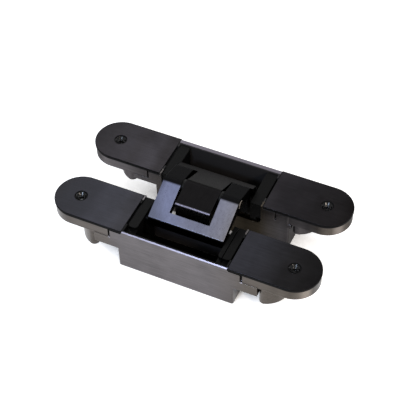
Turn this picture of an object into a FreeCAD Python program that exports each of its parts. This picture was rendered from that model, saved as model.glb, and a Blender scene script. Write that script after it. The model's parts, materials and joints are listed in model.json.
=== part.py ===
import FreeCAD, Part
import Sketcher
import math
import os

# Concealed door hinge for heavy doors, stored wide open (180 degrees).
# Frame: X along the hinge pins, -Y the front housing, +Y the rear housing, +Z out of the
# visible faces. Origin at the middle of the footprint, on the plane under both boxes.
# Every length is in millimetres and every angle in degrees.

Vector = FreeCAD.Vector

# Driving dimensions: name, value, meaning
DIMENSIONS = [
    ("body_length", 160.0, "length of each housing"),
    ("body_width", 30.0, "width of each housing"),
    ("body_gap", 18.6, "gap between the housings when open"),
    ("box_depth", 30.0, "depth of the boxes behind the visible faces"),
    ("pocket_half", 31.0, "half length of the pocket for the arms"),
    ("end_wall", 4.25, "thickness of a box's end walls"),
    ("rear_end_extra", 12.75, "how much further the rear box reaches to the right"),
    ("seat_wall", 1.0, "how far the caps' inner ends stand off the pocket"),
    ("cap_thickness", 1.5, "thickness of a cover cap"),
    ("cap_foot", 0.5, "height of the foot under a cap"),
    ("cap_foot_inset", 1.2, "how far the foot stands back from the cap's edge"),
    ("cap_edge", 0.3, "small chamfer on a cap's upper edge"),
    ("cap_play", 0.15, "gap between a cap's inner end and the raised middle"),
    ("wing_depth", 8.2, "depth of the thin ends behind the faces"),
    ("front_step_depth", 15.1, "depth of the thick part, front housing"),
    ("rear_step_depth", 11.2, "depth of the thick part, rear housing"),
    ("wing_recess", 0.35, "how far the thin ends stand back from the boxes' walls"),
    ("boss_flat_inset", 30.6, "distance of a boss's flat inner side from the housing's ends"),
    ("boss_centre_inset", 31.3, "distance of a boss's round side's centre from the ends"),
    ("boss_radius", 14.3, "radius of a boss's round outer side"),
    ("fixing_inset", 26.4, "distance of the fixing holes from the housing's ends"),
    ("fixing_spread", 17.6, "distance between the two fixing holes of one end"),
    ("front_boss_depth", 22.5, "depth of the screw bosses, front housing"),
    ("rear_boss_depth", 16.7, "depth of the screw bosses, rear housing"),
    ("boss_corner", 3.0, "rounding of a boss's upright corners on its flat side"),
    ("boss_edge", 1.2, "chamfer on a boss's lower edge"),
    ("fixing_hole", 5.2, "diameter of a fixing screw hole"),
    ("fixing_sink", 9.4, "diameter of a fixing hole's countersink"),
    ("corner_rounding", 1.2, "rounding of the boxes' upright corners"),
    ("floor_edge", 0.6, "chamfer on the boxes' lower edges"),
    ("wall", 3.8, "thickness of the long walls"),
    ("box_floor", 2.2, "thickness of the floor under a pocket"),
    ("sill_depth", 14.9, "how far the wall beside the gap is cut down"),
    ("sill_rounding", 3.0, "rounding of the cut-down wall's corners"),
    ("rim_chamfer", 0.8, "chamfer on the rim of the outer wall"),
    ("front_rim", 1.1, "thickness of the front housing's rim"),
    ("front_rim_depth", 3.0, "depth of the recess behind the front housing's rim"),
    ("seat_notch", 3.0, "depth of the notch in a pocket's end wall"),
    ("seat_notch_width", 17.0, "width of that notch"),
    ("mark_x", 39.9, "distance of the upright grooves from the middle"),
    ("mark_width", 1.2, "width of an upright groove"),
    ("mark_cut", 1.6, "how deep an upright groove is cut"),
    ("mark_depth", 7.9, "how far an upright groove runs down"),
    ("cap_screw_inset", 15.2, "distance of the cap screws from the housing's ends"),
    ("cap_screw_shank", 3.9, "diameter of a cap screw's shank"),
    ("cap_screw_head", 6.4, "diameter of a cap screw's head"),
    ("cap_screw_length", 6.2, "length of a cap screw"),
    ("cap_screw_sunk", 0.45, "how far a cap screw's head lies under the face"),
    ("cap_screw_socket", 2.5, "width across flats of the hexagon socket"),
    ("socket_depth", 1.3, "depth of the hexagon socket"),
    ("screw_play", 0.1, "radial play round a screw's shank"),
    ("pin_rise", 7.0, "height of the centre pin above the faces when open"),
    ("pivot_depth", 9.5, "depth of the fixed pivots under the faces"),
    ("closed_gap", 4.0, "gap between the faces when closed"),
    ("closed_set", -6.5, "place of the centre pin across a housing when closed"),
    ("centre_pin", 5.4, "diameter of the centre pin"),
    ("centre_pin_half", 23.1, "half length of the centre pin"),
    ("pivot_pin", 4.0, "diameter of the fixed pivot pins"),
    ("slide_pin", 4.0, "diameter of the sliding pins"),
    ("slide_pin_inset", 2.2, "how far the sliding pins stop short of the pocket's ends"),
    ("pivot_pin_inset", 1.4, "how far the fixed pins stop short of the pocket's ends"),
    ("bush_wall", 0.4, "wall of a plain bearing bush"),
    ("pin_fit", 0.02, "radial gap of a pin that is held fast"),
    ("running_fit", 0.05, "radial gap of a pin that turns"),
    ("side_play", 0.05, "gap at each face of a washer or sleeve"),
    ("slot_play", 0.3, "gap on each side of a sliding pin in its slot"),
    ("fork_half", 22.85, "half width of the forked arm"),
    ("fork_notch_half", 12.2, "half width of the fork's notch"),
    ("fork_notch_reach", 18.5, "distance of the notch's bottom from the centre pin"),
    ("tongue_half", 10.45, "half width of the tongue"),
    ("tee_half", 23.4, "half width of the tongued arm's cross-piece"),
    ("tee_reach", 15.6, "distance of the cross-piece from the centre pin"),
    ("ridge_set", 1.2, "distance of an arm's ridge from the centre pin's plane"),
    ("ridge_rise", 4.5, "height of an arm's ridge above the centre pin"),
    ("fork_slope", 25.0, "slope of the fork's broad face"),
    ("tee_slope", 26.5, "slope of the tongued arm's rear face"),
    ("prong_slope", 16.0, "slope of the fork's short faces over its legs"),
    ("tongue_slope", 13.0, "slope of the tongue's face"),
    ("fork_reach", 24.0, "distance of the fork's broad edge from the centre pin"),
    ("tee_edge_reach", 20.5, "distance of the cross-piece's far edge"),
    ("prong_reach", 12.9, "distance of the prongs' upright faces"),
    ("tongue_reach", 14.6, "distance of the tongue's upright face"),
    ("plate", 3.2, "thickness of the arms' broad plates"),
    ("lip", 2.8, "height of the broad plates' end faces"),
    ("hub_radius", 3.95, "radius of the arms round the centre pin"),
    ("leg_root", 8.8, "distance of the legs' inner face at the top"),
    ("eye_radius", 3.6, "radius of the eye at the end of a leg"),
    ("slide_reach", 21.0, "distance of a sliding pin from the centre pin"),
    ("slide_drop", 11.0, "drop of a sliding pin below the centre pin"),
    ("slide_boss", 3.0, "radius of the arm round a sliding pin"),
    ("edge_break", 0.5, "small chamfers on the arms' broad edges"),
    ("ridge_rounding", 4.0, "rounding of the arms' ridges"),
    ("tongue_rounding", 0.8, "rounding of the tongue's upper edge"),
    ("block_top", 0.6, "drop of the guide blocks below the faces"),
    ("block_nose", 14.4, "reach of the guide blocks over the sill"),
    ("block_nose_depth", 14.3, "depth of the part of a block over the sill"),
    ("block_play", 0.05, "gap between a guide block and its pocket"),
    ("front_left_gap", 2.55, "gap from the fork to the front left guide block"),
    ("front_right_gap", 0.65, "gap from the fork to the front right guide block"),
    ("rear_left_gap", 1.55, "gap from the fork to the rear left guide block"),
    ("rear_right_gap", 1.35, "gap from the fork to the rear right guide block"),
    ("block_rounding", 2.0, "rounding of the guide blocks' outer corners"),
    ("front_block_set", 2.25, "how far the front guide blocks' tops stand back"),
    ("groove_set", 2.5, "distance of the groove from the front right block's inner face"),
    ("groove_width", 0.5, "width of that groove"),
    ("groove_depth", 4.0, "depth of that groove"),
    ("sleeve_wall", 1.3, "wall of a spacer sleeve"),
    ("washer_wall", 1.5, "radial width of a thrust washer"),
]


class Size:
    """A length that keeps its number and the sheet formula that it is bound to."""

    def __init__(self, number, formula):
        self.number = number
        self.formula = formula

    def __add__(self, other):
        other = as_size(other)
        return Size(self.number + other.number, f"({self.formula} + {other.formula})")

    def __radd__(self, other):
        return as_size(other) + self

    def __sub__(self, other):
        other = as_size(other)
        return Size(self.number - other.number, f"({self.formula} - {other.formula})")

    def __rsub__(self, other):
        return as_size(other) - self

    def __mul__(self, other):
        other = as_size(other)
        return Size(self.number * other.number, f"({self.formula} * {other.formula})")

    def __rmul__(self, other):
        return as_size(other) * self

    def __truediv__(self, other):
        other = as_size(other)
        return Size(self.number / other.number, f"({self.formula} / {other.formula})")

    def __neg__(self):
        return as_size(0) - self


def as_size(value):
    """Wrap a plain number, such as a sign or a half, as a Size."""
    if isinstance(value, Size):
        return value
    return Size(float(value), f"({value})")


def tangent(angle):
    """Tangent of an angle that is held in degrees."""
    return Size(math.tan(math.radians(angle.number)), f"tan({angle.formula} * 1 deg)")


doc = FreeCAD.newDocument("ConcealedHinge")
sheet = doc.addObject("Spreadsheet::Sheet", "Sizes")
for row, (name, number, meaning) in enumerate(DIMENSIONS, start=1):
    sheet.set(f"A{row}", meaning)
    sheet.set(f"B{row}", str(number))
    sheet.setAlias(f"B{row}", name)
doc.recompute()

S = {name: Size(number, f"Sizes.{name}") for name, number, meaning in DIMENSIONS}

# Places that follow from the driving dimensions
face = S["box_depth"]
half_width = S["body_width"] / 2
half_pitch = S["body_gap"] / 2 + half_width
half_length = S["body_length"] / 2
wing_top = face - S["cap_thickness"] - S["cap_foot"]
slide_pin_half = S["pocket_half"] - S["slide_pin_inset"]
pivot_pin_half = S["pocket_half"] - S["pivot_pin_inset"]
cap_inner = S["pocket_half"] + S["seat_wall"]
middle_half = cap_inner - S["cap_play"]
box_half = S["pocket_half"] + S["end_wall"]
boss_flat = half_length - S["boss_flat_inset"]
boss_centre = half_length - S["boss_centre_inset"]
fixing_x = half_length - S["fixing_inset"]
cap_screw_x = half_length - S["cap_screw_inset"]
block_faces = {place: S["fork_half"] + S[f"{place}_gap"]
               for place in ("front_left", "front_right", "rear_left", "rear_right")}
inner_wall = half_width - S["wall"]
pin_height = face + S["pin_rise"]
pivot_height = face - S["pivot_depth"]
open_rise = S["pin_rise"] + S["pivot_depth"]
closed_rise = S["closed_gap"] / 2 + S["pivot_depth"]
pivot_set = (half_pitch * half_pitch + open_rise * open_rise
             - S["closed_set"] * S["closed_set"] - closed_rise * closed_rise)
pivot_set = pivot_set / (2 * (half_pitch - S["closed_set"]))
pivot_reach = half_pitch - pivot_set

# Length of the working arms and their turn from open to closed
arm_length = math.hypot(pivot_reach.number, open_rise.number)
arm_open = math.atan2(open_rise.number, pivot_reach.number)
arm_closed = math.atan2(closed_rise.number, S["closed_set"].number - pivot_set.number)
ARM_TURN = arm_closed - arm_open


def bind(thing, prop, size):
    """Set a property to a size's number and tie it to the sheet."""
    thing.setExpression(prop, size.formula)


def new_body(name):
    """Start a body for one piece."""
    body = doc.addObject("PartDesign::Body", name)
    body.Label = name
    return body


def new_sketch(body, name, plane, offset):
    """Start a sketch on one of the body's own origin planes, moved along its normal."""
    sketch = body.newObject("Sketcher::SketchObject", name)
    support = [item for item in body.Origin.OriginFeatures if item.Role == plane][0]
    sketch.AttachmentSupport = [(support, "")]
    sketch.MapMode = "FlatFace"
    bind(sketch, "AttachmentOffset.Base.z", as_size(offset))
    return sketch


def fix_point(sketch, edge, vertex, x, y):
    """Hold one point of a sketch at sizes x and y from the origin."""
    across = sketch.addConstraint(
        Sketcher.Constraint("DistanceX", -1, 1, edge, vertex, as_size(x).number))
    sketch.setExpression(f"Constraints[{across}]", as_size(x).formula)
    along = sketch.addConstraint(
        Sketcher.Constraint("DistanceY", -1, 1, edge, vertex, as_size(y).number))
    sketch.setExpression(f"Constraints[{along}]", as_size(y).formula)


def add_polygon(sketch, points):
    """Add a closed outline through points, each held by its two sizes."""
    points = [(as_size(x), as_size(y)) for x, y in points]
    first = sketch.GeometryCount
    count = len(points)
    for i, (x, y) in enumerate(points):
        end_x, end_y = points[(i + 1) % count]
        start = Vector(x.number, y.number, 0)
        end = Vector(end_x.number, end_y.number, 0)
        sketch.addGeometry(Part.LineSegment(start, end), False)
    for i, (x, y) in enumerate(points):
        after = first + (i + 1) % count
        sketch.addConstraint(Sketcher.Constraint("Coincident", first + i, 2, after, 1))
        fix_point(sketch, first + i, 1, x, y)


def add_box(sketch, x0, x1, y0, y1):
    """Add a rectangle between two x and two y sizes."""
    add_polygon(sketch, [(x0, y0), (x1, y0), (x1, y1), (x0, y1)])


def add_circle(sketch, x, y, radius):
    """Add a circle held by its centre and radius."""
    x, y, radius = as_size(x), as_size(y), as_size(radius)
    circle = Part.Circle(Vector(x.number, y.number, 0), Vector(0, 0, 1), radius.number)
    index = sketch.addGeometry(circle, False)
    fix_point(sketch, index, 3, x, y)
    size = sketch.addConstraint(Sketcher.Constraint("Radius", index, radius.number))
    sketch.setExpression(f"Constraints[{size}]", radius.formula)


def add_arc(sketch, x, y, radius, start, end):
    """Add an arc held by its centre and radius, drawn from start to end in degrees."""
    centre = Vector(x.number, y.number, 0)
    circle = Part.Circle(centre, Vector(0, 0, 1), radius.number)
    arc = Part.ArcOfCircle(circle, math.radians(start), math.radians(end))
    index = sketch.addGeometry(arc, False)
    fix_point(sketch, index, 3, x, y)
    size = sketch.addConstraint(Sketcher.Constraint("Radius", index, radius.number))
    sketch.setExpression(f"Constraints[{size}]", radius.formula)
    return index


def add_line(sketch, start, end):
    """Add a free line between two rough places; constraints pull it into shape."""
    line = Part.LineSegment(Vector(start[0], start[1], 0), Vector(end[0], end[1], 0))
    return sketch.addGeometry(line, False)


def join(sketch, first, first_end, second, second_end, smooth=False):
    """Join two ends, tangent to each other where smooth is set."""
    kind = "Tangent" if smooth else "Coincident"
    sketch.addConstraint(Sketcher.Constraint(kind, first, first_end, second, second_end))


def add_long_hole(sketch, x0, y0, x1, y1, radius):
    """Add a round-ended outline about the line from one centre to the other."""
    x0, y0, x1, y1, radius = [as_size(item) for item in (x0, y0, x1, y1, radius)]
    heading = math.degrees(math.atan2(y1.number - y0.number, x1.number - x0.number))
    near = add_arc(sketch, x0, y0, radius, heading + 90, heading + 270)
    far = add_arc(sketch, x1, y1, radius, heading - 90, heading + 90)
    side_x = radius.number * math.sin(math.radians(heading))
    side_y = -radius.number * math.cos(math.radians(heading))
    right = add_line(sketch, (x0.number + side_x, y0.number + side_y),
                     (x1.number + side_x, y1.number + side_y))
    left = add_line(sketch, (x1.number - side_x, y1.number - side_y),
                    (x0.number - side_x, y0.number - side_y))
    join(sketch, near, 2, right, 1, smooth=True)
    join(sketch, right, 2, far, 1, smooth=True)
    join(sketch, far, 2, left, 1, smooth=True)
    join(sketch, left, 2, near, 1, smooth=True)


def add_end_outline(sketch, side, inner, outer, y, radius):
    """Add a housing end's outline: square at inner, round at outer, about height y."""
    centre = outer - radius
    turn = 0 if side > 0 else 180
    arc = add_arc(sketch, side * centre, y, radius, turn - 90, turn + 90)
    low = y.number - radius.number * side
    high = y.number + radius.number * side
    square = side * inner.number
    shoulder = side * centre.number
    first = add_line(sketch, (square, low), (shoulder, low))
    second = add_line(sketch, (shoulder, high), (square, high))
    closing = add_line(sketch, (square, high), (square, low))
    join(sketch, first, 2, arc, 1, smooth=True)
    join(sketch, arc, 2, second, 1, smooth=True)
    join(sketch, second, 2, closing, 1)
    join(sketch, closing, 2, first, 1)
    sketch.addConstraint(Sketcher.Constraint("Vertical", closing))
    reach = sketch.addConstraint(
        Sketcher.Constraint("DistanceX", -1, 1, closing, 1, square))
    sketch.setExpression(f"Constraints[{reach}]", (side * inner).formula)


def add_boss_outline(sketch, side, y):
    """Add a boss's outline: flat on its inner side, round on its outer side."""
    half_turn = math.degrees(math.acos(
        (boss_flat.number - boss_centre.number) / S["boss_radius"].number))
    turn = 0 if side > 0 else 180
    arc = add_arc(sketch, side * boss_centre, y, S["boss_radius"],
                  turn - half_turn, turn + half_turn)
    flat = side * boss_flat
    rise = side * S["boss_radius"].number
    closing = add_line(sketch, (flat.number, y.number + rise), (flat.number, y.number - rise))
    join(sketch, arc, 2, closing, 1)
    join(sketch, closing, 2, arc, 1)
    sketch.addConstraint(Sketcher.Constraint("Vertical", closing))
    reach = sketch.addConstraint(
        Sketcher.Constraint("DistanceX", -1, 1, closing, 1, flat.number))
    sketch.setExpression(f"Constraints[{reach}]", flat.formula)


def pad(body, name, sketch, length, symmetric=False):
    """Raise a sketch along its normal."""
    feature = body.newObject("PartDesign::Pad", name)
    feature.Profile = sketch
    if symmetric:
        feature.SideType = "Symmetric"
    bind(feature, "Length", as_size(length))
    return feature


def pocket(body, name, sketch, length, upward=False, symmetric=False):
    """Cut a sketch out of the body, down from it or up from it."""
    doc.recompute()
    before = body.Shape.Volume
    feature = body.newObject("PartDesign::Pocket", name)
    feature.Profile = sketch
    if symmetric:
        feature.SideType = "Symmetric"
    feature.Reversed = upward
    bind(feature, "Length", as_size(length))
    doc.recompute()
    if not feature.Shape.Volume < before - 1e-3:
        raise RuntimeError(f"{body.Label}: {name} cuts nothing")
    return feature


def edges_where(shape, chosen):
    """Names of the shape's edges whose middle point and edge satisfy chosen."""
    names = []
    for index, edge in enumerate(shape.Edges, start=1):
        middle = edge.valueAt((edge.FirstParameter + edge.LastParameter) / 2)
        if chosen(middle, edge):
            names.append(f"Edge{index}")
    return names


def dress(body, kind, name, size, chosen):
    """Fillet or chamfer the edges of the body's last feature that satisfy chosen."""
    doc.recompute()
    base = body.Tip
    names = edges_where(base.Shape, chosen)
    if not names:
        raise RuntimeError(f"{body.Label}: {name} finds no edge")
    feature = body.newObject(f"PartDesign::{kind}", name)
    feature.Base = (base, names)
    bind(feature, "Radius" if kind == "Fillet" else "Size", as_size(size))
    doc.recompute()
    return feature


def near(value, size):
    """Whether a coordinate lies on a size."""
    return abs(value - as_size(size).number) < 1e-4


def at_most(size, limit):
    """A size that is held down to a limit, such as a rounding to its wall."""
    return Size(min(size.number, limit.number), f"min({size.formula}; {limit.formula})")


def is_upright(edge):
    """Whether an edge is straight and runs along Z."""
    if not isinstance(edge.Curve, Part.Line):
        return False
    return abs(abs(edge.Curve.Direction.z) - 1) < 1e-6


def make_housing(name, side, step_depth, boss_depth, box_right, rim=None):
    """One die-cast housing; side is -1 for the front and +1 for the rear.

    rim is the thickness of the outer wall's top, where it is thinner than the wall."""
    body = new_body(name)
    middle = side * half_pitch
    low, high = middle - half_width, middle + half_width

    bosses = new_sketch(body, "BossOutline", "XY_Plane", face - boss_depth)
    for end in (-1, 1):
        add_boss_outline(bosses, end, middle)
    pad(body, "Bosses", bosses, wing_top - face + boss_depth)
    dress(body, "Fillet", "BossCorners", S["boss_corner"],
          lambda point, edge: is_upright(edge))
    boss_floor = face - boss_depth
    dress(body, "Chamfer", "BossEdge", S["boss_edge"],
          lambda point, edge: near(point.z, boss_floor))

    box = new_sketch(body, "BoxOutline", "XY_Plane", 0)
    add_box(box, -box_half, box_right, low, high)
    pad(body, "Box", box, wing_top)
    dress(body, "Fillet", "CornerRounding", S["corner_rounding"],
          lambda point, edge: is_upright(edge)
          and (near(point.x, -box_half) or near(point.x, box_right)))
    dress(body, "Chamfer", "FloorEdge", S["floor_edge"],
          lambda point, edge: near(point.z, 0))

    wings = new_sketch(body, "WingOutline", "XY_Plane", face - S["wing_depth"])
    reach = half_length - half_width
    add_long_hole(wings, -reach, middle, reach, middle, half_width - S["wing_recess"])
    pad(body, "Wings", wings, wing_top - face + S["wing_depth"])

    # Between the grooves the full width reaches up to the caps, and beyond them only to
    # the underside of the thin ends.
    step = new_sketch(body, "StepOutline", "XY_Plane", face - step_depth)
    add_box(step, -boss_flat, boss_flat, low, high)
    pad(body, "Step", step, step_depth - S["wing_depth"])
    shoulder = new_sketch(body, "ShoulderOutline", "XY_Plane", face - S["wing_depth"])
    add_box(shoulder, -S["mark_x"], S["mark_x"], low, high)
    pad(body, "Shoulder", shoulder, wing_top - face + S["wing_depth"])

    raised = new_sketch(body, "MiddleOutline", "XY_Plane", wing_top)
    add_box(raised, -middle_half, middle_half, low, high)
    pad(body, "Middle", raised, face - wing_top)

    well = new_sketch(body, "PocketOutline", "XY_Plane", face)
    pocket_half = S["pocket_half"]
    add_box(well, -pocket_half, pocket_half, middle - inner_wall, middle + inner_wall)
    pocket(body, "Pocket", well, face - S["box_floor"])

    # The wall beside the gap is cut down so that the arms can pass over it.
    sill = new_sketch(body, "SillOutline", "XY_Plane", face)
    gap_side = middle - side * half_width
    gap_wall = middle - side * (inner_wall - S["block_play"])
    add_box(sill, -pocket_half, pocket_half, gap_side, gap_wall)
    pocket(body, "Sill", sill, S["sill_depth"])
    sill_height = face - S["sill_depth"]
    dress(body, "Fillet", "SillRounding", S["sill_rounding"],
          lambda point, edge: near(point.z, sill_height) and near(abs(point.x), pocket_half)
          and abs(edge.tangentAt(edge.FirstParameter).y) > 0.9)

    notch = new_sketch(body, "SeatNotchOutline", "XY_Plane", face)
    half_notch = S["seat_notch_width"] / 2
    for end in (-1, 1):
        add_box(notch, end * (pocket_half - S["block_play"]), end * middle_half,
                middle - half_notch, middle + half_notch)
    pocket(body, "SeatNotch", notch, S["seat_notch"])

    outer_side = middle + side * half_width
    if rim is not None:
        recess = new_sketch(body, "RimRecessOutline", "XY_Plane", face)
        add_box(recess, -pocket_half, pocket_half,
                middle + side * (inner_wall - S["block_play"]), outer_side - side * rim)
        pocket(body, "RimRecess", recess, S["front_rim_depth"])
    dress(body, "Chamfer", "RimChamfer", S["rim_chamfer"],
          lambda point, edge: near(point.z, face) and near(point.y, outer_side))

    marks = new_sketch(body, "MarkOutline", "XY_Plane", wing_top)
    for end in (-1, 1):
        x0 = end * S["mark_x"] - S["mark_width"] / 2
        for wall_side in (-1, 1):
            wall_face = middle + wall_side * half_width
            y0 = wall_face - wall_side * S["mark_cut"]
            y1 = wall_face + wall_side * S["mark_cut"]
            add_box(marks, x0, x0 + S["mark_width"], y0, y1)
    pocket(body, "Marks", marks, wing_top - face + S["mark_depth"])

    half_spread = S["fixing_spread"] / 2
    fixings = new_sketch(body, "FixingOutline", "XY_Plane", wing_top)
    for end in (-1, 1):
        for across in (-1, 1):
            add_circle(fixings, end * fixing_x, middle + across * half_spread,
                       S["fixing_hole"] / 2)
    pocket(body, "FixingHoles", fixings, boss_depth)
    dress(body, "Chamfer", "FixingSinks", (S["fixing_sink"] - S["fixing_hole"]) / 2,
          lambda point, edge: near(point.z, wing_top)
          and isinstance(edge.Curve, Part.Circle)
          and near(edge.Curve.Radius, S["fixing_hole"] / 2))

    taps = new_sketch(body, "CapScrewOutline", "XY_Plane", wing_top)
    for end in (-1, 1):
        add_circle(taps, end * cap_screw_x, middle,
                   S["cap_screw_shank"] / 2 + S["screw_play"])
    pocket(body, "CapScrewHoles", taps, S["cap_screw_length"] - S["cap_thickness"])
    return body


def make_cap(name, side, end):
    """One cover cap: round at its outer end, with a foot and a sunk screw hole."""
    body = new_body(name)
    middle = side * half_pitch
    foot = new_sketch(body, "FootOutline", "XY_Plane", wing_top)
    inset = S["cap_foot_inset"]
    add_end_outline(foot, end, cap_inner + inset, half_length - inset, middle,
                    half_width - inset)
    pad(body, "Foot", foot, S["cap_foot"])
    plate = new_sketch(body, "PlateOutline", "XY_Plane", wing_top + S["cap_foot"])
    add_end_outline(plate, end, cap_inner, half_length, middle, half_width)
    pad(body, "Plate", plate, S["cap_thickness"])
    dress(body, "Chamfer", "EdgeBreak", S["cap_edge"],
          lambda point, edge: near(point.z, face))
    hole = new_sketch(body, "HoleOutline", "XY_Plane", face)
    hole_radius = S["cap_screw_shank"] / 2 + 2 * S["screw_play"]
    add_circle(hole, end * cap_screw_x, middle, hole_radius)
    pocket(body, "Hole", hole, 2 * S["cap_thickness"] + S["cap_foot"])
    # The cone is as wide at the head's depth as the head, plus the same play.
    cone = S["cap_screw_head"] / 2 + S["cap_screw_sunk"] + S["screw_play"] - hole_radius
    dress(body, "Chamfer", "Countersink", cone,
          lambda point, edge: near(point.z, face) and isinstance(edge.Curve, Part.Circle)
          and near(edge.Curve.Radius, hole_radius))
    return body


def make_cylinder(name, radius, x0, x1, y, z):
    """A round bar along X between two x sizes."""
    bar = doc.addObject("Part::Cylinder", name)
    bind(bar, "Radius", as_size(radius))
    bind(bar, "Height", as_size(x1) - x0)
    bar.Placement.Rotation = FreeCAD.Rotation(Vector(0, 1, 0), 90)
    bind(bar, "Placement.Base.x", as_size(x0))
    bind(bar, "Placement.Base.y", as_size(y))
    bind(bar, "Placement.Base.z", as_size(z))
    return bar


def make_pin(name, radius, half, chamfer, y, z):
    """A pin along X, centred, with chamfered ends."""
    bar = make_cylinder(name + "_bar", radius, -half, half, y, z)
    doc.recompute()
    pin = doc.addObject("Part::Chamfer", name)
    pin.Base = bar
    size = as_size(chamfer).number
    ends = [index for index, edge in enumerate(bar.Shape.Edges, start=1)
            if isinstance(edge.Curve, Part.Circle)]
    pin.Edges = [(index, size, size) for index in ends]
    pin.Label = name
    return pin


def make_tube(name, inner, outer, x0, x1, y, z):
    """A sleeve, bush or washer along X."""
    skin = make_cylinder(name + "_skin", outer, x0, x1, y, z)
    bore = make_cylinder(name + "_bore", inner, x0, x1, y, z)
    tube = doc.addObject("Part::Cut", name)
    tube.Base = skin
    tube.Tool = bore
    tube.Label = name
    return tube


def make_group(name, members):
    """Like pieces of one body, as separate solids of one node."""
    group = doc.addObject("Part::Compound", name)
    group.Links = members
    group.Label = name
    return group


def make_cap_screw(name, side, end):
    """A countersunk screw with a hexagon socket, under a cap's hole."""
    x, y = end * cap_screw_x, side * half_pitch
    head_top = face - S["cap_screw_sunk"]
    head_radius = S["cap_screw_head"] / 2
    shank_radius = S["cap_screw_shank"] / 2
    head_height = head_radius - shank_radius
    head = doc.addObject("Part::Cone", name + "_head")
    bind(head, "Radius1", shank_radius)
    bind(head, "Radius2", head_radius)
    bind(head, "Height", head_height)
    shank = doc.addObject("Part::Cylinder", name + "_shank")
    bind(shank, "Radius", shank_radius)
    bind(shank, "Height", S["cap_screw_length"] - head_height)
    socket = doc.addObject("Part::Prism", name + "_socket")
    socket.Polygon = 6
    bind(socket, "Circumradius", S["cap_screw_socket"] / math.sqrt(3))
    bind(socket, "Height", S["socket_depth"])
    starts = [(head, head_top - head_height), (shank, head_top - S["cap_screw_length"]),
              (socket, head_top - S["socket_depth"])]
    for item, z in starts:
        bind(item, "Placement.Base.x", as_size(x))
        bind(item, "Placement.Base.y", as_size(y))
        bind(item, "Placement.Base.z", z)
    solid = doc.addObject("Part::Fuse", name + "_solid")
    solid.Base = head
    solid.Tool = shank
    screw = doc.addObject("Part::Cut", name)
    screw.Base = solid
    screw.Tool = socket
    return screw


def make_cap_screws(name, side):
    """The two cap screws of one housing."""
    return make_group(name, [make_cap_screw(f"{name}_{label}", side, end)
                             for label, end in (("left", -1), ("right", 1))])


def turned(y, z, angle):
    """A place turned about the origin of the side view."""
    cosine, sine = math.cos(angle), math.sin(angle)
    return y * cosine - z * sine, y * sine + z * cosine


def slide_place(share):
    """Where the sliding pin is in the front housing, across it and above its face,
    when the given share of the closing motion is done."""
    across = pivot_set.number + arm_length * math.cos(arm_open + ARM_TURN * share)
    rise = -S["pivot_depth"].number + arm_length * math.sin(arm_open + ARM_TURN * share)
    back_turn = (math.pi - ARM_TURN) * share
    arm_y, arm_z = turned(-S["slide_reach"].number, -S["slide_drop"].number, back_turn)
    return across + arm_y, rise + arm_z


def make_slot(name, side, x0, x1):
    """The curved slot of a guide block: the sliding pin's path, with play round it."""
    start, halfway, end = [slide_place(share) for share in (0, 0.5, 1)]
    path = Part.Arc(Vector(0, *start), Vector(0, *halfway), Vector(0, *end)).toShape()
    centre, radius = path.Curve.Center, path.Curve.Radius
    play = S["slide_pin"].number / 2 + S["slot_play"].number
    arrows = [(Vector(0, *place) - centre).normalize() for place in (start, halfway, end)]
    outer = [centre + arrow * (radius + play) for arrow in arrows]
    inner = [centre + arrow * (radius - play) for arrow in arrows]
    tips = []
    for place, arrow, turn in ((start, arrows[0], -1), (end, arrows[2], 1)):
        along = Vector(1, 0, 0).cross(arrow) * turn
        if along.dot(arrows[1]) > 0:
            along = -along
        tips.append(Vector(0, *place) + along * play)
    edges = [Part.Arc(*outer).toShape(), Part.Arc(outer[2], tips[1], inner[2]).toShape(),
             Part.Arc(*reversed(inner)).toShape(),
             Part.Arc(inner[0], tips[0], outer[0]).toShape()]
    slot = Part.Face(Part.Wire(edges)).extrude(Vector(x1.number - x0.number, 0, 0))
    if side > 0:
        slot = slot.mirror(Vector(0, 0, 0), Vector(0, 1, 0))
    feature = doc.addObject("Part::Feature", name)
    feature.Shape = slot
    feature.Placement.Base = Vector(x0.number, side * half_pitch.number, face.number)
    return feature


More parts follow.
